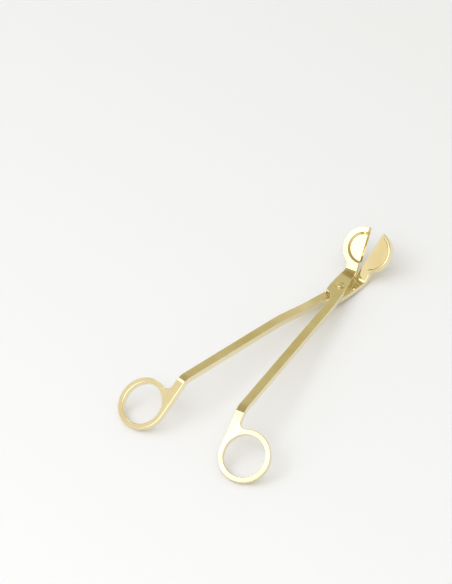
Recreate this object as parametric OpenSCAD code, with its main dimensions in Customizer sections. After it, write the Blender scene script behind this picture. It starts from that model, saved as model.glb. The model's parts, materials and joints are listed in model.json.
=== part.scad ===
// Wick trimmer: two cranked levers that cross on one rivet, lying on a table.
// The finger rings are at the back (-X), the half-round blades at the front (+X).

/* [Arms] */
// Pivot to the bend above a finger ring
arm_len = 119; // [100:1:140]
// Width of an arm
arm_w = 4.9; // [4.4:0.1:5.4]
// Thickness of the upper lever and of both finger rings
arm_t = 3.6; // [3.2:0.1:4]
// Angle between the two arms at rest
open_angle = 15.6; // [12:0.1:24]

/* [Finger rings] */
// Outer diameter of a ring
ring_od = 28; // [26:0.5:34]
// Diameter of the finger hole
ring_id = 22.4; // [20:0.1:23]
// Bend to ring centre
ring_reach = 22.8; // [21:0.1:30]
// How far a ring slopes down from its arm
ring_bend = 40.4; // [32:0.1:48]

/* [Blades] */
// Pivot to the bend under the blades
head_reach = 15; // [14:0.1:17]
// How far the blades slope up from the arms
head_bend = 51; // [44:1:56]
// Bend to the centre of a half disc
blade_reach = 13.8; // [13.2:0.1:15]
// Diameter of a half disc
blade_d = 23.4; // [22:0.1:25]
// Width of the upper blade's raised rim
rim_w = 2.9; // [2.4:0.1:3.6]
// Depth of the recess that catches the cut wick
recess_depth = 1; // [0.6:0.1:1.2]
// Height of the lower blade's outer wall
wall_h = 4.9; // [4.4:0.1:6]

/* [Pivot] */
// Diameter of the rivet's shank
rivet_d = 3.6; // [3:0.1:4]
// Diameter of the rivet's front head
rivet_head_d = 5.2; // [4.8:0.1:6]

/* [Hidden] */
$fn = 96;

half_open = open_angle / 2;
closed_gap = 0.3;               // between the arms and between the rings when closed
inner_y = -closed_gap / 2;      // inner edge of an arm
outer_y = inner_y - arm_w;      // outer edge of an arm
ring_r = ring_od / 2;
ring_y = inner_y - ring_r;      // a ring is tangent to its arm's inner edge
bend_r = 8;                     // top of the bend above a ring
bend_run = bend_r * tan(ring_bend / 2);
ring_fillet = 3.4;

joggle_start = -50;             // the lower arm dips between these two
joggle_end = -16;
joggle_drop = 2.9;
lap_gap = 0.08;                 // between the levers at the pivot
lap_z = -arm_t - lap_gap;       // seat of the upper lever in the lower one
base_z = -arm_t - joggle_drop;  // underside of the lower lever's front

shoulder_r = 9.4;               // hollow stop shoulder behind the pivot
shoulder_x = -14.7;
shoulder_gap = 0.3;             // left at the stop when the trimmer is closed
shoulder_end = -25.5;
flank_r = 117;                  // nearly straight left side of the pivot zone
flank_y = 5.35;
flank_x = -1.5;
flank_front = 13;
neck_left = 4.45;
neck_right = -2.05;
right_side = [[-18, outer_y], [-10, -4.62], [-2, -4.1], [6, -3.4], [12, -2.6]];

blade_r = blade_d / 2;
blade_y = -1.05;                // the half disc's centre is past the mid-line
cut_angle = 4;                  // the edges meet at the heel first
recess_r = blade_r - rim_w;
recess_run = 1.4;               // run of the recess's sloping side
tray_lip = 1.3;                 // rim left round the lower blade's tray
tray_r = blade_r - tray_lip;
tray_run = 0.7;                 // run of the tray's sloping side
plate_t = 2.05;                 // upper blade, rim to flat underside
rim_drop = 1;                   // lower rim below the upper rim
blade_gap = 0.2;                // between the flat faces of the blades
neck_gap = 0.35;                // the same at the necks
floor_n = plate_t + blade_gap;  // depth of the lower blade's flat face
neck_n = plate_t + neck_gap;
bevel_w = 0.9;                  // bevel ground on the upper cutting edge
bevel_start = 5.5;
sweep_gap = 0.4;                // beside the strip that the upper blade sweeps
underside_run = 1.6;            // slope under the lower cutting edge
neck_fillet = 4;
neck_end = 2.4;
inner_heel_r = 2;
outer_heel_r = 4;

rivet_r = rivet_d / 2;
bore_r = rivet_r + 0.05;
head_seat = 0.06;               // below the rivet's front head
head_h = 0.8;
tail_d = 5;
tail_h = 0.7;
far = 60;

function arc(cx, cy, r, a0, a1, n = 12) =
    [for (i = [0:n]) let (a = a0 + (a1 - a0) * i / n) [cx + r * cos(a), cy + r * sin(a)]];

// Side view of a point s along a ring's plane and n above it
function ring_pt(s, n) = [
    -arm_len - s * cos(ring_bend) - n * sin(ring_bend),
    -s * sin(ring_bend) + n * cos(ring_bend)
];

// Side view of a point s along the blades' plane and n above it
function head_pt(s, n) = [
    head_reach + s * cos(head_bend) - n * sin(head_bend),
    s * sin(head_bend) + n * cos(head_bend)
];

// Where the blades' plane at depth d crosses the level z
function heel_pt(d, z) = head_pt((z + d * cos(head_bend)) / sin(head_bend), -d);

// The lower arm's dip from one level to the next, as a smooth S
function joggle(top) = [
    for (i = [0:16])
        let (k = i / 16, x = joggle_start + k * (joggle_end - joggle_start))
        [x, top - joggle_drop * (1 - cos(180 * k)) / 2]
];

function flip(list) = [for (i = [len(list) - 1:-1:0]) list[i]];

// Height and length of a lever's own point once it is opened and tilted by t
function height(p, y, t) = p[1] * cos(t) - (p[0] * cos(half_open) - y * sin(half_open)) * sin(t);
function length(p, y, t) = (p[0] * cos(half_open) - y * sin(half_open)) * cos(t) + p[1] * sin(t);

// Lowest point of a ring's under edge
function ring_low(t) =
    let (hs = cos(ring_bend) * cos(half_open) * sin(t) - sin(ring_bend) * cos(t))
    let (hy = sin(half_open) * sin(t))
    height(ring_pt(ring_reach, -arm_t), ring_y, t) - ring_r * norm([hs, hy]);

// Lowest point of the lower lever's rounded heel
outer_heel = heel_pt(rim_drop + wall_h, base_z)
    + [-outer_heel_r * tan(head_bend / 2), outer_heel_r];
function heel_low(t) = height(outer_heel, neck_right, t) - outer_heel_r;

// The tilt at which both rings and the heel touch the table
function settle(a, b, n) =
    let (m = (a + b) / 2)
    n == 0 ? m : ring_low(m) < heel_low(m) ? settle(m, b, n - 1) : settle(a, m, n - 1);
tilt = settle(0, 20, 30);
lift = -heel_low(tilt);

// The object's middle, from its back and front ends
back_s = cos(ring_bend) * cos(half_open) * cos(tilt) + sin(ring_bend) * sin(tilt);
back_x = length(ring_pt(ring_reach, 0), ring_y, tilt)
    - ring_r * norm([back_s, sin(half_open) * cos(tilt)]);
tip = head_pt(blade_reach + blade_r * cos(cut_angle), -rim_drop - wall_h);
front_x = length(tip, blade_y + blade_r * sin(cut_angle) + underside_run, tilt);
middle_x = (back_x + front_x) / 2;

module in_ring_plane() {
    translate([-arm_len, 0, 0]) rotate([0, -ring_bend, 0]) mirror([1, 0, 0]) children();
}

module in_blade_plane() {
    translate([head_reach, 0, 0]) rotate([0, -head_bend, 0]) children();
}

// A side view pulled across the full width
module across(profile) {
    rotate([90, 0, 0]) linear_extrude(2 * far, center = true) polygon(profile);
}

// The arm from above: straight, then wide round the pivot, with the stop shoulder
module arm_plan() {
    polygon(concat(
        [[-arm_len - 6, outer_y]],
        right_side,
        [[head_reach, neck_right], [head_reach + 1, neck_right], [head_reach + 1, neck_left]],
        arc(flank_x, flank_y - flank_r, flank_r,
            90 - asin((flank_front - flank_x) / flank_r), 92.3),
        arc(shoulder_x, inner_y + shoulder_r, shoulder_r, shoulder_end, -90, 16),
        [[-arm_len - 6, inner_y]]
    ));
}

// Neck and finger ring, from square above the ring's plane
module ring_plan() {
    fy = outer_y - ring_fillet;
    fx = ring_reach - sqrt(pow(ring_r + ring_fillet, 2) - pow(fy - ring_y, 2));
    difference() {
        union() {
            translate([ring_reach, ring_y]) circle(ring_r);
            polygon([[-6, outer_y], [fx, outer_y], [fx, fy], [ring_reach, ring_y],
                [ring_reach, inner_y], [-6, inner_y]]);
        }
        translate([fx, fy]) circle(ring_fillet);
        translate([ring_reach, ring_y]) circle(ring_id / 2);
    }
}

// The part of the blades' plane that lies left of a lever's own cutting line
module left_of_cut() {
    translate([blade_reach, blade_y]) rotate(cut_angle)
        translate([-far, 0]) square([2 * far, far]);
}

// The part of the lower blade that the closed upper blade doesn't reach
module beyond_upper_blade() {
    translate([blade_reach, -blade_y]) rotate(-cut_angle)
        translate([-far, bevel_w + sweep_gap]) square([2 * far, far]);
}

// Neck and half disc, from square above the blades' plane
module blade_plan() {
    fy = neck_left + neck_fillet;
    fx = blade_reach - sqrt(pow(blade_r + neck_fillet, 2) - pow(fy - blade_y, 2));
    difference() {
        intersection() {
            union() {
                translate([blade_reach, blade_y]) circle(blade_r);
                polygon([[-4, neck_right], [blade_reach, neck_right], [blade_reach, blade_y],
                    [fx, fy], [fx, neck_left], [-4, neck_left]]);
            }
            union() {
                left_of_cut();
                translate([-5, neck_right]) square([5.2, far]);
            }
        }
        translate([fx, fy]) circle(neck_fillet);
    }
}

// Recess with a sloping side, its floor at depth d and its brim at depth top
module recess(top, d, r, run) {
    translate([blade_reach, blade_y, -d]) cylinder(h = d - top, r1 = r - run, r2 = r);
    translate([blade_reach, blade_y, -top - 0.001]) cylinder(h = 3, r = r);
}

ring_top = arc(-arm_len + bend_run, -bend_r, bend_r, 90 + ring_bend, 90);
ring_under = arc(-arm_len + bend_run, -bend_r, bend_r - arm_t, 90 + ring_bend, 90);

upper_side = concat(
    [ring_pt(45, 0)],
    ring_top,
    arc(head_reach - inner_heel_r * tan(head_bend / 2), inner_heel_r, inner_heel_r,
        -90, -90 + head_bend, 8),
    [head_pt(30, 0), head_pt(30, -plate_t), heel_pt(plate_t, -arm_t)],
    flip(ring_under),
    [ring_pt(45, -arm_t)]
);

lower_side = concat(
    [ring_pt(45, 0)],
    ring_top,
    joggle(0),
    [heel_pt(rim_drop, -joggle_drop), head_pt(30, -rim_drop),
        head_pt(30, -rim_drop - wall_h)],
    arc(outer_heel[0], outer_heel[1], outer_heel_r, -90 + head_bend, -90, 10),
    flip(joggle(-arm_t)),
    flip(ring_under),
    [ring_pt(45, -arm_t)]
);

// What the seat at the pivot and the neck's flat face cut away, from the side
lap_side = [
    [-far, lap_z], heel_pt(neck_n, lap_z), head_pt(neck_end, -neck_n), head_pt(neck_end, 9),
    [-far, 30]
];

module lever_blank(side) {
    intersection() {
        across(side);
        union() {
            translate([0, 0, -20]) linear_extrude(40) arm_plan();
            in_ring_plane() translate([0, 0, -20]) linear_extrude(40) ring_plan();
            in_blade_plane() translate([0, 0, -20]) linear_extrude(40) blade_plan();
        }
    }
}

// Upper lever in its own frame: pivot at the origin, top of the arm at z = 0
module upper_blank() {
    difference() {
        lever_blank(upper_side);
        in_blade_plane() recess(0, recess_depth, recess_r, recess_run);
        translate([0, 0, -10]) cylinder(h = 20, r = bore_r);
    }
    in_blade_plane() intersection() {
        translate([blade_reach, blade_y, 0]) rotate([0, 0, cut_angle])
            rotate([90, 0, 90]) linear_extrude(2 * blade_r, center = true)
                polygon([[0.5, -recess_depth], [0, -recess_depth],
                    [-bevel_w, -plate_t], [0.5, -plate_t]]);
        translate([blade_reach, blade_y, -10]) cylinder(h = 20, r = blade_r);
        translate([bevel_start, -far, -10]) cube([far, 2 * far, 20]);
    }
}

// Lower lever in the same frame, before it is mirrored
module lower_blank() {
    difference() {
        lever_blank(lower_side);
        intersection() {
            across(lap_side);
            difference() {
                translate([shoulder_x, -far, -10]) cube([2 * far, 2 * far, 60]);
                translate([shoulder_x, -inner_y - shoulder_r, -10])
                    cylinder(h = 60, r = shoulder_r - shoulder_gap);
            }
        }
        in_blade_plane() {
            recess(rim_drop, floor_n, tray_r, tray_run);
            translate([0, 0, -floor_n]) linear_extrude(20) difference() {
                translate([-4, -far]) square([far, 2 * far]);
                beyond_upper_blade();
            }
            translate([blade_reach, blade_y, 0]) rotate([0, 0, cut_angle])
                rotate([90, 0, 90]) linear_extrude(far, center = true)
                    polygon([[-1, -floor_n - 0.4], [0, -floor_n - 0.4],
                        [underside_run, -rim_drop - wall_h], [underside_run, -12], [-1, -12]]);
        }
        translate([0, 0, -10]) cylinder(h = 20, r = rivet_r);
    }
}

// Sets a part down on the table, with the middle of the object over the origin
module on_table() {
    translate([-middle_x, 0, lift]) rotate([0, tilt, 0]) children();
}

module upper_lever() {
    color("#d8b566") on_table() rotate([0, 0, half_open]) upper_blank();
}

module lower_lever() {
    color("#d8b566") on_table() mirror([0, 1, 0]) rotate([0, 0, half_open]) lower_blank();
}

// Flat-topped head with a sloping rim above, peened tail below
module pivot_rivet() {
    color("#e3c47c") on_table() rotate_extrude() polygon([
        [0, base_z - tail_h], [tail_d / 2 - 0.8, base_z - tail_h], [tail_d / 2, base_z - 0.2],
        [tail_d / 2, base_z], [rivet_r, base_z], [rivet_r, head_seat],
        [rivet_head_d / 2, head_seat], [rivet_head_d / 2, head_seat + 0.25],
        [rivet_head_d / 2 - 1.1, head_h], [0, head_h]
    ]);
}

upper_lever();
lower_lever();
pivot_rivet();
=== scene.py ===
import json
import math
import bmesh
import bpy
import numpy as np
from mathutils import Matrix, Vector
from mathutils.geometry import delaunay_2d_cdt


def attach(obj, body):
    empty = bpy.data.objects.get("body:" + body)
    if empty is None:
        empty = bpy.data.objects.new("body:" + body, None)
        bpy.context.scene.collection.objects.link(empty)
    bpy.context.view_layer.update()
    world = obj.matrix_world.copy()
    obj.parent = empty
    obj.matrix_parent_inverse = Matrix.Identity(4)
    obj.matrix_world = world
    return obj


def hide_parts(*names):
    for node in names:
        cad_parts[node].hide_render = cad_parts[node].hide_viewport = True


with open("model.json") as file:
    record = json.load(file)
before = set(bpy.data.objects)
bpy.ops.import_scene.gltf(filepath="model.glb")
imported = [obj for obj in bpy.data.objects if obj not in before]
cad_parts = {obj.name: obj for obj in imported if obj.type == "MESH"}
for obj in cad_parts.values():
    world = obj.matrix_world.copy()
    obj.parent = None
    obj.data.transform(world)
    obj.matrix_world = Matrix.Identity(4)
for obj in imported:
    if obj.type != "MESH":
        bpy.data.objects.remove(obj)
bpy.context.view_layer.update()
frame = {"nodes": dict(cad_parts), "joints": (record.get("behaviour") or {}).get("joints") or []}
print("frame loaded:", sorted(frame["nodes"]))

mm = 0.001
pivotJoint = frame["joints"][0]
pivotPoint = Vector(pivotJoint["pos_m"])
pivotAxis = Vector(pivotJoint["axis"]).normalized()
# the tool lies on its rings and heel, so the pivot leans forward by this much
lean = math.atan2(pivotAxis.x, pivotAxis.z)


# hex sRGB to the linear values that Blender's sockets take
def hexColour(code, alpha=1.0):
    parts = [int(code[i:i + 2], 16) / 255 for i in (1, 3, 5)]
    linear = [p / 12.92 if p <= 0.04045 else ((p + 0.055) / 1.055) ** 2.4 for p in parts]
    return (*linear, alpha)


# one node with its settings; an input is either a value or a socket to link from
def addNode(tree, kind, inputs=None, **settings):
    node = tree.nodes.new(kind)
    for name, value in settings.items():
        setattr(node, name, value)
    for key, value in (inputs or {}).items():
        if isinstance(value, bpy.types.NodeSocket):
            tree.links.new(value, node.inputs[key])
        else:
            node.inputs[key].default_value = value
    return node


def setRamp(node, stops):
    ramp = node.color_ramp
    while len(ramp.elements) < len(stops):
        ramp.elements.new(0.5)
    for element, (position, colour) in zip(ramp.elements, stops):
        element.position = position
        element.color = colour


cameraView = {
    "place": (-1.0755, -0.7581, 1.3145),
    "direction": (0.57923, 0.42782, -0.69388),
    "up": (0.56576, 0.40182, 0.72004),
    "lens": 216.0,
    "sensor": 36.0,
}


def makeCamera(settings):
    data = bpy.data.cameras.new("mainCamera")
    data.lens = settings["lens"]
    data.sensor_width = settings["sensor"]
    data.clip_start = 0.05
    data.clip_end = 60
    camera = bpy.data.objects.new("mainCamera", data)
    bpy.context.scene.collection.objects.link(camera)
    ahead = Vector(settings["direction"]).normalized()
    right = ahead.cross(Vector(settings["up"])).normalized()
    above = right.cross(ahead)
    turn = Matrix((right, above, -ahead)).transposed()
    camera.matrix_world = Matrix.Translation(settings["place"]) @ turn.to_4x4()
    bpy.context.scene.camera = camera
    return camera


makeCamera(cameraView)
print("camera placed")

studio = {
    "floorColour": "#F1F2F9",
    "floorRadius": 9.0,
    "worldStops": [
        (0.0, (0.92, 0.92, 0.90, 1)),
        (0.40, (0.76, 0.74, 0.62, 1)),
        (0.53, (0.66, 0.635, 0.47, 1)),
        (0.66, (0.57, 0.55, 0.43, 1)),
        (1.0, (0.50, 0.49, 0.43, 1)),
    ],
}

softboxes = {
    "overheadSoftbox": {
        "place": (-1.33, 0.06, 1.50), "aim": (-1.33, 0.06, 0.0),
        "size": (1.54, 2.10), "radiance": 1.95, "colour": (1, 1, 1),
    },
    "stripSoftbox": {
        "place": (-0.36, 1.02, 1.50), "aim": (-0.36, 1.02, 0.0),
        "size": (0.40, 0.24), "radiance": 1.95, "colour": (1, 1, 1),
    },
    "sideSoftbox": {
        "place": (-1.00, 1.30, 1.38), "aim": (0, 0, 0),
        "size": (1.4, 1.1), "radiance": 0.44, "colour": (0.96, 1, 1.24),
    },
    "floorFill": {
        "place": (0.0, 0.0, 3.0), "aim": (0, 0, 0),
        "size": (4.0, 4.0), "radiance": 0.44, "colour": (0.86, 0.89, 1.0), "inReflections": False,
    },
}


def makeSoftbox(name, settings):
    data = bpy.data.lights.new(name, "AREA")
    data.shape = "RECTANGLE"
    data.size = settings["size"][0]
    data.size_y = settings["size"][1]
    data.color = settings["colour"]
    data.energy = settings["radiance"] * math.pi * data.size * data.size_y
    light = bpy.data.objects.new(name, data)
    bpy.context.scene.collection.objects.link(light)
    place = Vector(settings["place"])
    light.location = place
    light.visible_glossy = settings.get("inReflections", True)
    light.rotation_euler = (place - Vector(settings["aim"])).to_track_quat("Z", "Y").to_euler()
    return light


def makeFloor(settings):
    mesh = bpy.data.meshes.new("paleFloor")
    form = bmesh.new()
    bmesh.ops.create_circle(form, cap_ends=True, radius=settings["floorRadius"], segments=64)
    form.to_mesh(mesh)
    form.free()
    floor = bpy.data.objects.new("paleFloor", mesh)
    bpy.context.scene.collection.objects.link(floor)
    paper = bpy.data.materials.new("matteWhitePaper")
    paper.use_nodes = True
    shader = paper.node_tree.nodes["Principled BSDF"]
    shader.inputs["Base Color"].default_value = hexColour(settings["floorColour"])
    shader.inputs["Roughness"].default_value = 0.9
    shader.inputs["Specular IOR Level"].default_value = 0.1
    mesh.materials.append(paper)
    return floor


# a wash that is bright at the horizon and dim overhead, between the softboxes
def makeSurroundings(settings):
    world = bpy.data.worlds.new("studioWash")
    bpy.context.scene.world = world
    world.use_nodes = True
    tree = world.node_tree
    tree.nodes.clear()
    coordinates = addNode(tree, "ShaderNodeTexCoord")
    parts = addNode(tree, "ShaderNodeSeparateXYZ", {"Vector": coordinates.outputs["Generated"]})
    ramp = addNode(tree, "ShaderNodeValToRGB", {"Fac": parts.outputs["Z"]})
    setRamp(ramp, settings["worldStops"])
    background = addNode(tree, "ShaderNodeBackground", {"Color": ramp.outputs["Color"]})
    addNode(tree, "ShaderNodeOutputWorld", {"Surface": background.outputs["Background"]})


makeFloor(studio)
makeSurroundings(studio)
for name, settings in softboxes.items():
    makeSoftbox(name, settings)
bpy.context.scene.view_settings.view_transform = "Standard"
print("studio ready")

# Polished stainless steel under a thin flash of pale gold: a warm champagne mirror,
# very slightly rippled by the buffing wheel, with fine hairlines along the arm.
platedSteel = {
    "gold": "#EBDCAE",
    "deepGold": "#E2CE98",      # where the plating is a little thicker
    "wornGold": "#F1E6C4",      # rubbed corners
    "roughness": (0.035, 0.10),
    "toneSize": 18 * mm,
    "rippleSize": 5 * mm,
    "rippleHeight": 0.003 * mm,
    "hairlineWidth": 0.35 * mm,  # real ones are finer than this and would not show
    "hairlineLength": 22 * mm,
    "hairlineDepth": 0.0005 * mm,
}


def makePlatedSteel(name, armTurn, settings):
    material = bpy.data.materials.new(name)
    material.use_nodes = True
    tree = material.node_tree
    shader = tree.nodes["Principled BSDF"]
    shader.inputs["Metallic"].default_value = 1.0
    place = addNode(tree, "ShaderNodeTexCoord").outputs["Object"]
    along = addNode(tree, "ShaderNodeMapping", {"Vector": place, "Rotation": (0, lean, armTurn)})
    stretched = addNode(tree, "ShaderNodeMapping", {
        "Vector": along.outputs["Vector"],
        "Scale": (1 / settings["hairlineLength"], 1 / settings["hairlineWidth"],
                  1 / settings["hairlineWidth"]),
    })
    hairlines = addNode(tree, "ShaderNodeTexNoise", {
        "Vector": stretched.outputs["Vector"], "Scale": 1.0, "Detail": 2.0})
    tone = addNode(tree, "ShaderNodeTexNoise", {
        "Vector": place, "Scale": 1 / settings["toneSize"], "Detail": 3.0})
    ripple = addNode(tree, "ShaderNodeTexNoise", {
        "Vector": place, "Scale": 1 / settings["rippleSize"], "Detail": 1.0})
    toneRamp = addNode(tree, "ShaderNodeValToRGB", {"Fac": tone.outputs["Fac"]})
    setRamp(toneRamp, [(0.35, hexColour(settings["deepGold"])),
                       (0.65, hexColour(settings["gold"]))])
    worn = addNode(tree, "ShaderNodeAttribute", attribute_name="cornerWear")
    colour = addNode(tree, "ShaderNodeMix", {
        "Factor": worn.outputs["Fac"], "A": toneRamp.outputs["Color"],
        "B": hexColour(settings["wornGold"])}, data_type="RGBA")
    tree.links.new(colour.outputs["Result"], shader.inputs["Base Color"])
    low, high = settings["roughness"]
    rough = addNode(tree, "ShaderNodeMapRange", {
        "Value": hairlines.outputs["Fac"], "From Min": 0.35, "From Max": 0.75,
        "To Min": low, "To Max": high})
    tree.links.new(rough.outputs["Result"], shader.inputs["Roughness"])
    wave = addNode(tree, "ShaderNodeBump", {
        "Height": ripple.outputs["Fac"], "Strength": 1.0,
        "Distance": settings["rippleHeight"]})
    scratch = addNode(tree, "ShaderNodeBump", {
        "Height": hairlines.outputs["Fac"], "Normal": wave.outputs["Normal"],
        "Strength": 1.0, "Distance": settings["hairlineDepth"]})
    tree.links.new(scratch.outputs["Normal"], shader.inputs["Normal"])
    return material


# All sizes in mm. Each lever is drawn as a flat blank, u along it from the pivot and y
# across, given its steps and rounded corners, and then bent along its side view.
blank = {
    "thickness": 3.6,
    "innerEdge": -0.15,
    "outerEdge": -5.05,
    "bendCorner": -119.0,
    "ringBend": 40.4,
    "ringBendRadius": 8.0,
    "ringReach": 22.8,
    "ringRadius": 14.0,
    "holeRadius": 11.2,
    "ringFillet": 3.4,
    "rightSide": [(-18, -5.05), (-14, -4.86), (-10, -4.62), (-6, -4.37), (-2, -4.1), (2, -3.76),
                  (6, -3.4), (9, -3.02), (12, -2.6)],
    "flankRadius": 117.0,
    "flankMiddle": (-1.5, 5.35),
    "shoulderX": -14.7,
    "shoulderRadius": 9.4,
    "headBend": 51.0,
    "neckRight": -2.03,
    "neckLeft": 4.45,
    "neckFillet": 4.0,
    "discReach": 13.8,
    "discY": -1.05,
    "discRadius": 11.7,
    "cutTurn": 4.0,
    "brimRadius": 0.16,
    "stepWidth": 0.04,
    "halfOpen": 7.8,
    "ringCorner": 0.38,
    "armCorner": 0.34,
    "cutCorner": 0.03,
    "cornerSteps": 4,
    "supportShare": 1.12,        # one more loop inside the corners keeps the faces flat
    "crossReach": 8.0,           # wider than an arm on both sides
    "ringSegments": 80,
    "discSegments": 56,
    "recessSegments": 96,
    "boreSegments": 36,
    "bendSteps": 18,
    "heelSteps": 14,
    "thinSteps": 8,
    "joggleSteps": 28,
    "mergeDistance": 0.002 * mm,
    "sharpAngle": 38.0,
}

levers = {
    "upperLever": {
        "node": "upper_lever", "body": "upper", "mirrored": False,
        "heelStart": 14.046, "heelRadius": 2.0, "headStart": 0.954,
        "joggleDrop": 0.0, "headThickness": 2.05, "thinFrom": (13.2, 16.2), "recessDepth": 1.0,
        "recessRadius": 8.8, "recessFloorRadius": 7.4,
        "boreRadius": 1.85, "discCorner": 0.34,
        "bevelStart": 5.5, "bevelEnd": 6.4, "bevelWidth": 0.86, "bevelSlope": 1.05 / 0.9,
    },
    "lowerLever": {
        "node": "lower_lever", "body": "lower", "mirrored": True,
        "heelStart": 13.556, "heelRadius": 0.8, "headStart": -2.54,
        "joggleDrop": 2.9, "headThickness": 4.87, "thinFrom": (13.2, 15.6), "recessDepth": 1.25,
        "recessRadius": 10.4, "recessFloorRadius": 9.7,
        "boreRadius": 1.81, "discCorner": 0.62,
        "joggleFrom": -50.0, "joggleTo": -16.0, "seatDepth": 0.78, "neckDepth": 1.4,
        "neckFrom": (13.0, 15.0), "neckEnd": 2.4, "seatRadius": 9.1, "seatY": -9.25,
        "sweepLine": 1.3, "lipHeight": 0.4, "lipSlope": 1.6,
    },
}


def arcPoints(centre, radius, start, end, count):
    angles = [math.radians(start + (end - start) * i / count) for i in range(count + 1)]
    return [(centre[0] + radius * math.cos(a), centre[1] + radius * math.sin(a)) for a in angles]


def blend(value, start, end):
    k = np.clip((value - start) / (end - start), 0, 1)
    return k * k * (3 - 2 * k)


# where the flat blank's landmarks fall along u
def landmarks(lever):
    marks = {}
    run = blank["ringBendRadius"] * math.tan(math.radians(blank["ringBend"] / 2))
    marks["ringBendEnd"] = blank["bendCorner"] + run
    marks["ringBendStart"] = (marks["ringBendEnd"]
                              - blank["ringBendRadius"] * math.radians(blank["ringBend"]))
    marks["ringCentre"] = (marks["ringBendStart"] + run - blank["ringReach"],
                           blank["innerEdge"] - blank["ringRadius"])
    marks["heelEnd"] = (lever["heelStart"]
                        + lever["heelRadius"] * math.radians(blank["headBend"]))
    marks["toHead"] = lever["headStart"] - marks["heelEnd"]
    marks["disc"] = (blank["discReach"] - marks["toHead"], blank["discY"])
    return marks


# signed distance from a line through the blade's centre line, positive on its left
def fromLine(u, y, centre, turn):
    angle = math.radians(turn)
    return (y - centre[1]) * math.cos(angle) - (u - centre[0]) * math.sin(angle)


def alongLine(distance, offset, centre, turn):
    angle = math.radians(turn)
    return (centre[0] + distance * math.cos(angle) - offset * math.sin(angle),
            centre[1] + distance * math.sin(angle) + offset * math.cos(angle))


# the outline as (u, y, corner radius), anticlockwise from the ring's fillet
def leverOutline(lever, marks):
    points = []

    def add(places, corner):
        points.extend((place[0], place[1], corner) for place in places)

    ring = marks["ringCentre"]
    disc = marks["disc"]
    inner, outer = blank["innerEdge"], blank["outerEdge"]
    filletY = outer - blank["ringFillet"]
    reach = blank["ringRadius"] + blank["ringFillet"]
    filletX = ring[0] + math.sqrt(reach ** 2 - (filletY - ring[1]) ** 2)
    turn = math.degrees(math.atan2(filletY - ring[1], filletX - ring[0]))
    add(arcPoints(ring, blank["ringRadius"], 90, 360 + turn, blank["ringSegments"]),
        blank["ringCorner"])
    add(arcPoints((filletX, filletY), blank["ringFillet"], 180 + turn, 90, 14)[1:],
        blank["ringCorner"])
    add([(marks["ringBendStart"], outer), (marks["ringBendEnd"] + 4, outer)], blank["armCorner"])
    add(blank["rightSide"], blank["armCorner"])
    cutCorner = blank["cutCorner"]
    cut = blank["cutTurn"]
    neckS = 0.2 - marks["toHead"]
    add([(neckS - 1.2, blank["neckRight"] - 0.06)], 0.3)
    add([alongLine(neckS - disc[0], 0, disc, cut)], cutCorner)
    if "bevelWidth" in lever:
        add([alongLine(lever["bevelStart"] - blank["discReach"], 0, disc, cut),
             alongLine(lever["bevelEnd"] - blank["discReach"], -lever["bevelWidth"], disc, cut)],
            cutCorner)
        edge = -lever["bevelWidth"]
    else:
        edge = 0
    tipTurn = cut + math.degrees(math.asin(edge / blank["discRadius"]))
    neckY = blank["neckLeft"] + blank["neckFillet"]
    reach = blank["discRadius"] + blank["neckFillet"]
    neckX = disc[0] - math.sqrt(reach ** 2 - (neckY - disc[1]) ** 2)
    turn = math.degrees(math.atan2(neckY - disc[1], neckX - disc[0]))
    rim = arcPoints(disc, blank["discRadius"], tipTurn, turn, blank["discSegments"])
    add(rim[:1], cutCorner)
    add(rim[1:2], 0.2)
    add(rim[2:], lever["discCorner"])
    add(arcPoints((neckX, neckY), blank["neckFillet"], turn - 180, -90, 10)[1:], blank["armCorner"])
    flankX, flankY = blank["flankMiddle"]
    flank = (flankX, flankY - blank["flankRadius"])
    front = math.degrees(math.acos((13 - flankX) / blank["flankRadius"]))
    add(arcPoints(flank, blank["flankRadius"], front, 92.3, 12), blank["armCorner"])
    add(arcPoints((blank["shoulderX"], inner + blank["shoulderRadius"]),
                  blank["shoulderRadius"], -25.5, -90, 18), blank["armCorner"])
    add([(marks["ringBendEnd"] + 4, inner), (marks["ringBendStart"], inner)], blank["armCorner"])
    add([(marks["ringBendStart"] - 4, inner)], blank["ringCorner"])
    return points


# moves a closed loop into the metal by each point's corner radius times a share
def insetLoop(loop, share):
    moved = []
    count = len(loop)
    for i, (u, y, corner) in enumerate(loop):
        before, after = loop[i - 1], loop[(i + 1) % count]
        first = Vector((u - before[0], y - before[1])).normalized()
        second = Vector((after[0] - u, after[1] - y)).normalized()
        normal = Vector((-(first.y + second.y), first.x + second.x)).normalized()
        stretch = 1 / max(0.45, normal.dot(Vector((-first.y, first.x))))
        moved.append((u + normal.x * corner * share * stretch,
                      y + normal.y * corner * share * stretch, corner))
    return moved


# how far the rounded corners lower the faces at each point, and how worn they are
def cornerDrop(u, y, loops):
    drop = np.zeros(len(u))
    wear = np.zeros(len(u))
    for loop in loops:
        start = np.array(loop)
        end = np.roll(start, -1, axis=0)
        step = end[:, :2] - start[:, :2]
        length = np.maximum((step ** 2).sum(1), 1e-12)
        toPoint = np.stack([u, y], 1)[:, None, :] - start[None, :, :2]
        k = np.clip((toPoint * step).sum(2) / length, 0, 1)
        away = np.sqrt(((toPoint - k[..., None] * step) ** 2).sum(2))
        nearest = away.argmin(1)
        rows = np.arange(len(u))
        distance = away[rows, nearest]
        share = k[rows, nearest]
        corner = start[nearest, 2] * (1 - share) + end[nearest, 2] * share
        inside = np.clip(corner - distance, 0, None)
        here = corner - np.sqrt(np.maximum(corner ** 2 - inside ** 2, 0))
        drop = np.maximum(drop, here)
        wear = np.maximum(wear, np.clip(inside / corner, 0, 1) * (corner > 0.1))
    return drop, wear


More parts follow.
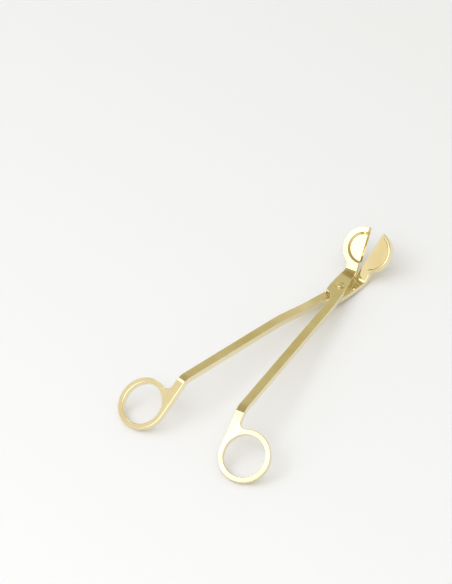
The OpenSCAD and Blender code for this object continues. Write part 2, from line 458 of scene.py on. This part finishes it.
# the recess's depth at a distance from the middle: flat floor, slope, brim, both eased
def recessDepth(u, y, disc, lever):
    floor, brim, soft = lever["recessFloorRadius"], lever["recessRadius"], blank["brimRadius"]
    depth = lever["recessDepth"]
    slope = depth / (brim - floor)
    away = np.hypot(u - disc[0], y - disc[1])
    straight = np.clip((brim - away) * slope, 0, depth)
    atFloor = np.clip(away - floor + soft, 0, 2 * soft)
    atBrim = np.clip(brim + soft - away, 0, 2 * soft)
    eased = np.where(np.abs(away - floor) < soft,
                     depth - slope * atFloor ** 2 / (4 * soft), straight)
    return np.where(np.abs(away - brim) < soft, slope * atBrim ** 2 / (4 * soft), eased)


def recessLoops(lever):
    soft = blank["brimRadius"]
    return [middle + soft * share
            for middle in (lever["recessFloorRadius"], lever["recessRadius"])
            for share in (-1.6, -1, -0.5, 0, 0.5, 1, 1.6)]


def upperFaces(u, y, lever, marks):
    disc = marks["disc"]
    s = u + marks["toHead"]
    top = np.where(s > 0, -recessDepth(u, y, disc, lever), 0)
    beyond = fromLine(u, y, disc, blank["cutTurn"])
    onBevel = (beyond < -blank["stepWidth"] / 2) & (s > lever["bevelStart"] - 0.3)
    top = np.where(onBevel, -lever["recessDepth"] + lever["bevelSlope"] * beyond, top)
    thin = blend(u, *lever["thinFrom"])
    bottom = -(blank["thickness"] * (1 - thin) + lever["headThickness"] * thin)
    return top, bottom


def lowerFaces(u, y, lever, marks):
    disc = marks["disc"]
    s = u + marks["toHead"]
    step = blank["stepWidth"]
    fromSeat = np.minimum(u - blank["shoulderX"],
                          np.hypot(u - blank["shoulderX"], y - lever["seatY"])
                          - lever["seatRadius"])
    neck = blend(u, *lever["neckFrom"])
    seat = lever["seatDepth"] * (1 - neck) + lever["neckDepth"] * neck
    depth = seat * np.clip(fromSeat / step, 0, 1)
    swept = fromLine(u, y, (disc[0], -disc[1]), -blank["cutTurn"])
    onRim = np.clip((swept - lever["sweepLine"]) / step, 0, 1)
    rim = recessDepth(u, y, disc, lever)
    blade = lever["recessDepth"] * (1 - onRim) + rim * onRim
    past = np.clip((s - lever["neckEnd"]) / step, 0, 1)
    top = -(depth * (1 - past) + blade * past)
    thin = blend(u, *lever["thinFrom"])
    thickness = blank["thickness"] * (1 - thin) + lever["headThickness"] * thin
    inside = np.clip(fromLine(u, y, disc, blank["cutTurn"]) / lever["lipSlope"], 0, 1)
    lip = lever["recessDepth"] + lever["lipHeight"]
    sloped = lip + (thickness - lip) * inside
    near = blend(s, -1.5, 0.6)
    return top, -(thickness * (1 - near) + sloped * near)


# lines that the steps, the recess and the bends need in the flat mesh
def featureLines(lever, marks):
    disc = marks["disc"]
    step = blank["stepWidth"]
    lines = []

    def across(u):
        lines.append([(u, -blank["crossReach"]), (u, blank["crossReach"])])

    # evenly spaced lines across, numbered from first to last out of the span's steps
    def acrossSpan(start, end, steps, first, last):
        for i in range(first, last + 1):
            across(start + (end - start) * i / steps)

    acrossSpan(marks["ringBendStart"], marks["ringBendEnd"], blank["bendSteps"],
               -1, blank["bendSteps"] + 1)
    acrossSpan(lever["heelStart"], marks["heelEnd"], blank["heelSteps"],
               -1, blank["heelSteps"] + 1)
    acrossSpan(*lever["thinFrom"], blank["thinSteps"], 1, blank["thinSteps"] - 1)
    for radius in recessLoops(lever):
        lines.append(arcPoints(disc, radius, -12, 210, blank["recessSegments"]))
    if "bevelWidth" in lever:
        for offset in (0, -step):
            lines.append([alongLine(lever["bevelStart"] - blank["discReach"], offset, disc,
                                    blank["cutTurn"]),
                          alongLine(14, offset, disc, blank["cutTurn"])])
        return lines
    acrossSpan(lever["joggleFrom"], lever["joggleTo"], blank["joggleSteps"],
               0, blank["joggleSteps"])
    shoulder = blank["shoulderX"]
    for offset in (0, step):
        lines.append([(shoulder + offset, 8.0)]
                     + arcPoints((shoulder, lever["seatY"]), lever["seatRadius"] + offset,
                                 90 - 0.26 * offset / step, 20, 24))
    for offset in (0, step):
        across(lever["neckEnd"] + offset - marks["toHead"])
        far = lever["sweepLine"] + offset
        lines.append([alongLine(-16, far, (disc[0], -disc[1]), -blank["cutTurn"]),
                      alongLine(16, far, (disc[0], -disc[1]), -blank["cutTurn"])])
    for share in (0, 1):
        lines.append([alongLine(-18, lever["lipSlope"] * share, disc, blank["cutTurn"]),
                      alongLine(14, lever["lipSlope"] * share, disc, blank["cutTurn"])])
    for i in range(1, 6):
        across(-1.5 + 2.1 * i / 6 - marks["toHead"])
    return lines


# the side view: where a point u along and n above the blank's top ends up
def bendPoint(u, n, lever, marks):
    ringTurn = math.radians(blank["ringBend"])
    headTurn = math.radians(blank["headBend"])
    radius = blank["ringBendRadius"]
    bendEnd = marks["ringBendEnd"]
    if u < bendEnd:
        angle = min((bendEnd - u) / radius, ringTurn)
        extra = max(0.0, marks["ringBendStart"] - u)
        x = bendEnd - radius * math.sin(angle) - extra * math.cos(angle)
        z = -radius * (1 - math.cos(angle)) - extra * math.sin(angle)
        return x - n * math.sin(angle), z + n * math.cos(angle)
    drop = lever["joggleDrop"]
    if u <= lever["heelStart"]:
        angle, z = 0.0, 0.0
        if drop:
            k = (u - lever["joggleFrom"]) / (lever["joggleTo"] - lever["joggleFrom"])
            k = min(max(k, 0.0), 1.0)
            z = -drop * (1 - math.cos(math.pi * k)) / 2
        return u, z + n
    heel = lever["heelRadius"]
    angle = min((u - lever["heelStart"]) / heel, headTurn)
    extra = max(0.0, u - marks["heelEnd"])
    x = lever["heelStart"] + heel * math.sin(angle) + extra * math.cos(angle)
    z = -drop + heel * (1 - math.cos(angle)) + extra * math.sin(angle)
    return x - n * math.sin(angle), z + n * math.cos(angle)


def insideLoop(u, y, loop):
    edge = np.array([(point[0], point[1]) for point in loop])
    after = np.roll(edge, -1, axis=0)
    crosses = (edge[:, 1] > y[:, None]) != (after[:, 1] > y[:, None])
    slope = (after[:, 0] - edge[:, 0]) / np.where(after[:, 1] == edge[:, 1], 1,
                                                 after[:, 1] - edge[:, 1])
    hits = crosses & (u[:, None] < edge[:, 0] + slope * (y[:, None] - edge[:, 1]))
    return hits.sum(1) % 2 == 1


def flatMesh(loops, lines):
    points, edges = [], []

    def addChain(chain, closed):
        first = len(points)
        points.extend(Vector((place[0], place[1])) for place in chain)
        count = len(chain)
        edges.extend((first + i, first + i + 1) for i in range(count - 1))
        if closed:
            edges.append((first + count - 1, first))

    steps = blank["cornerSteps"]
    for loop in loops:
        addChain(loop, True)
        for i in range(1, steps + 1):
            share = 1 - math.cos(math.pi / 2 * i / steps)
            addChain(insetLoop(loop, share), True)
        addChain(insetLoop(loop, blank["supportShare"]), True)
    for line in lines:
        addChain(line, False)
    made = delaunay_2d_cdt(points, edges, [], 0, 1e-4)
    places = np.array([(point.x, point.y) for point in made[0]])
    faces = np.array(made[2])
    middle = places[faces].mean(1)
    keep = insideLoop(middle[:, 0], middle[:, 1], loops[0])
    for hole in loops[1:]:
        keep &= ~insideLoop(middle[:, 0], middle[:, 1], hole)
    return places, faces[keep]


def makeLever(name, lever):
    marks = landmarks(lever)
    ringHole = [(*place, blank["ringCorner"]) for place in
                arcPoints(marks["ringCentre"], blank["holeRadius"], 0, -360,
                          blank["ringSegments"])[:-1]]
    bore = [(*place, 0.12) for place in
            arcPoints((0, 0), lever["boreRadius"], 0, -360, blank["boreSegments"])[:-1]]
    loops = [leverOutline(lever, marks), ringHole, bore]
    places, faces = flatMesh(loops, featureLines(lever, marks))
    u, y = places[:, 0], places[:, 1]
    shapeFaces = lowerFaces if lever["mirrored"] else upperFaces
    top, bottom = shapeFaces(u, y, lever, marks)
    drop, wear = cornerDrop(u, y, loops)
    drop = np.minimum(drop, (top - bottom) * 0.45)
    form = bmesh.new()
    worn = form.verts.layers.float.new("cornerWear")
    side = -1 if lever["mirrored"] else 1
    turn = (Matrix.Translation(pivotPoint) @ Matrix.Rotation(lean, 4, "Y")
            @ Matrix.Diagonal((1, side, 1, 1))
            @ Matrix.Rotation(math.radians(blank["halfOpen"]), 4, "Z"))
    layers = []
    for level in (top - drop, bottom + drop):
        layer = {}
        for i in set(faces.flat):
            x, z = bendPoint(u[i], level[i], lever, marks)
            layer[i] = form.verts.new(turn @ (Vector((x, y[i], z)) * mm))
            layer[i][worn] = wear[i]
        layers.append(layer)
    upper, lower = layers
    borders = {}
    for a, b, c in faces:
        form.faces.new((upper[a], upper[b], upper[c]))
        form.faces.new((lower[c], lower[b], lower[a]))
        for start, end in ((a, b), (b, c), (c, a)):
            if (end, start) in borders:
                del borders[(end, start)]
            else:
                borders[(start, end)] = True
    for start, end in borders:
        form.faces.new((upper[start], lower[start], lower[end], upper[end]))
    bmesh.ops.remove_doubles(form, verts=form.verts, dist=blank["mergeDistance"])
    bmesh.ops.recalc_face_normals(form, faces=form.faces)
    mesh = bpy.data.meshes.new(name)
    form.to_mesh(mesh)
    form.free()
    piece = bpy.data.objects.new(name, mesh)
    bpy.context.scene.collection.objects.link(piece)
    return piece


# smooth over the rounded corners and bends, flat on the faces, sharp at the steps
def finishLever(piece, lever, material):
    piece.data.materials.append(material)
    piece.data.shade_smooth()
    piece.data.set_sharp_from_angle(angle=math.radians(blank["sharpAngle"]))
    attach(piece, lever["body"])
    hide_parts(lever["node"])


for name, lever in levers.items():
    armTurn = math.radians(-blank["halfOpen"] if lever["mirrored"] else blank["halfOpen"])
    piece = makeLever(name, lever)
    finishLever(piece, lever, makePlatedSteel("polishedGoldPlatedSteel." + name, armTurn,
                                              platedSteel))
    print("lever made:", name, len(piece.data.polygons), "faces")

# Turned and riveted over: a raised button in a shallow groove, a rounded rim round it, and
# a peened tail below. Sizes in mm, heights above the upper arm's face.
rivetSizes = {
    "Segments": 72,
    "Tail face radius": 1.6,
    "Tail slope radius": 2.3,
    "Tail radius": 2.49,
    "Tail height": -7.17,
    "Tail slope height": -6.92,
    "Tail edge height": -6.7,
    "Base height": -6.5,
    "Shank radius": 1.8,
    "Seat height": 0.06,
    "Head radius": 2.58,
    "Head edge height": 0.14,
    "Rim height": 0.27,
    "Rim crest radius": 2.3,
    "Rim crest height": 0.43,
    "Rim inner radius": 2.12,
    "Groove radius": 1.98,
    "Groove height": 0.40,
    "Button foot radius": 1.9,
    "Button radius": 1.66,
    "Button edge height": 0.70,
    "Button face radius": 1.42,
    "Head height": 0.79,
}

# the lathe profile, tail to head, as pairs of the inputs above
rivetStations = [
    (None, "Tail height"), ("Tail face radius", "Tail height"),
    ("Tail slope radius", "Tail slope height"), ("Tail radius", "Tail edge height"),
    ("Tail radius", "Base height"), ("Shank radius", "Base height"),
    ("Shank radius", "Seat height"), ("Head radius", "Seat height"),
    ("Head radius", "Head edge height"), ("Head radius", "Rim height"),
    ("Rim crest radius", "Rim crest height"), ("Rim inner radius", "Rim crest height"),
    ("Groove radius", "Groove height"), ("Button foot radius", "Groove height"),
    ("Button radius", "Button edge height"), ("Button face radius", "Head height"),
    (None, "Head height"),
]


def makeLatheTree(sizes, stations):
    tree = bpy.data.node_groups.new("turnedRivet", "GeometryNodeTree")
    for name, value in sizes.items():
        kind = "NodeSocketInt" if isinstance(value, int) else "NodeSocketFloat"
        tree.interface.new_socket(name, in_out="INPUT", socket_type=kind)
    tree.interface.new_socket("Material", in_out="INPUT", socket_type="NodeSocketMaterial")
    tree.interface.new_socket("Geometry", in_out="OUTPUT", socket_type="NodeSocketGeometry")
    given = addNode(tree, "NodeGroupInput").outputs
    grid = addNode(tree, "GeometryNodeMeshGrid", {
        "Size X": 1.0, "Size Y": 1.0, "Vertices X": given["Segments"],
        "Vertices Y": len(stations)})
    place = addNode(tree, "GeometryNodeInputPosition")
    parts = addNode(tree, "ShaderNodeSeparateXYZ", {0: place.outputs[0]})
    station = addNode(tree, "ShaderNodeMath", {
        0: parts.outputs["Y"], 1: len(stations) - 1.0, 2: (len(stations) - 1) / 2},
        operation="MULTIPLY_ADD")
    station = addNode(tree, "ShaderNodeMath", {0: station.outputs[0]}, operation="ROUND")
    pick = addNode(tree, "GeometryNodeIndexSwitch", data_type="VECTOR")
    while len(pick.index_switch_items) < len(stations):
        pick.index_switch_items.new()
    tree.links.new(station.outputs[0], pick.inputs["Index"])
    for i, (radius, height) in enumerate(stations):
        corner = addNode(tree, "ShaderNodeCombineXYZ", {
            "X": given[radius] if radius else 0.0, "Z": given[height]})
        tree.links.new(corner.outputs[0], pick.inputs[str(i)])
    angle = addNode(tree, "ShaderNodeMath", {
        0: parts.outputs["X"], 1: 2 * math.pi}, operation="MULTIPLY")
    turned = addNode(tree, "ShaderNodeVectorRotate", {
        "Vector": pick.outputs[0], "Angle": angle.outputs[0]}, rotation_type="Z_AXIS")
    lathed = addNode(tree, "GeometryNodeSetPosition", {
        "Geometry": grid.outputs["Mesh"], "Position": turned.outputs[0]})
    closed = addNode(tree, "GeometryNodeMergeByDistance", {
        "Geometry": lathed.outputs[0], "Distance": 0.001})
    seated = addNode(tree, "GeometryNodeTransform", {
        "Geometry": closed.outputs[0], "Translation": pivotPoint,
        "Rotation": (0, lean, 0), "Scale": (mm, mm, mm)})
    real = addNode(tree, "GeometryNodeRealizeInstances", {"Geometry": seated.outputs[0]})
    painted = addNode(tree, "GeometryNodeSetMaterial", {
        "Geometry": real.outputs[0], "Material": given["Material"]})
    addNode(tree, "NodeGroupOutput", {"Geometry": painted.outputs[0]})
    return tree


# Turned steel under the same gold, burnished round and round, so the marks are rings.
wavePeriod = 0.3142  # a wave texture's ring spacing at scale 1
turnedGold = {
    "gold": "#EFDFB2",
    "deepGold": "#DCC48A",
    "roughness": (0.05, 0.13),
    "ringSpacing": 0.3 * mm,    # coarser than real tool marks, which would not show
    "ringHeight": 0.0012 * mm,
}


def makeTurnedGold(settings):
    material = bpy.data.materials.new("turnedGoldPlatedSteel")
    material.use_nodes = True
    tree = material.node_tree
    shader = tree.nodes["Principled BSDF"]
    shader.inputs["Metallic"].default_value = 1.0
    place = addNode(tree, "ShaderNodeTexCoord").outputs["Object"]
    centred = addNode(tree, "ShaderNodeMapping", {
        "Vector": place, "Location": pivotPoint, "Rotation": (0, lean, 0)}, vector_type="TEXTURE")
    rings = addNode(tree, "ShaderNodeTexWave", {
        "Vector": centred.outputs["Vector"], "Scale": wavePeriod / settings["ringSpacing"],
        "Distortion": 0.6, "Detail": 1.0}, wave_type="RINGS", rings_direction="Z")
    tone = addNode(tree, "ShaderNodeTexNoise", {"Vector": place, "Scale": 1 / (1.5 * mm)})
    ramp = addNode(tree, "ShaderNodeValToRGB", {"Fac": tone.outputs["Fac"]})
    setRamp(ramp, [(0.35, hexColour(settings["deepGold"])), (0.6, hexColour(settings["gold"]))])
    tree.links.new(ramp.outputs["Color"], shader.inputs["Base Color"])
    low, high = settings["roughness"]
    rough = addNode(tree, "ShaderNodeMapRange", {
        "Value": rings.outputs["Fac"], "To Min": low, "To Max": high})
    tree.links.new(rough.outputs["Result"], shader.inputs["Roughness"])
    bump = addNode(tree, "ShaderNodeBump", {
        "Height": rings.outputs["Fac"], "Strength": 1.0, "Distance": settings["ringHeight"]})
    tree.links.new(bump.outputs["Normal"], shader.inputs["Normal"])
    return material


def makeRivet(sizes, stations, material):
    tree = makeLatheTree(sizes, stations)
    holder = bpy.data.objects.new("rivetBuilder", bpy.data.meshes.new("rivetBuilder"))
    bpy.context.scene.collection.objects.link(holder)
    modifier = holder.modifiers.new("turnedRivet", "NODES")
    modifier.node_group = tree
    values = dict(sizes, Material=material)
    for item in tree.interface.items_tree:
        if item.in_out == "INPUT":
            modifier[item.identifier] = values[item.name]
    evaluated = holder.evaluated_get(bpy.context.evaluated_depsgraph_get())
    mesh = bpy.data.meshes.new_from_object(evaluated)
    mesh.name = "pivotRivet"
    holder.modifiers.clear()
    bpy.data.objects.remove(holder)
    form = bmesh.new()
    form.from_mesh(mesh)
    bmesh.ops.recalc_face_normals(form, faces=form.faces)
    form.to_mesh(mesh)
    form.free()
    mesh.shade_smooth()
    mesh.set_sharp_from_angle(angle=math.radians(30))
    rivet = bpy.data.objects.new("pivotRivet", mesh)
    bpy.context.scene.collection.objects.link(rivet)
    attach(rivet, "lower")
    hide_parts("pivot_rivet")
    return rivet


rivet = makeRivet(rivetSizes, rivetStations, makeTurnedGold(turnedGold))
print("rivet made:", len(rivet.data.polygons), "faces")
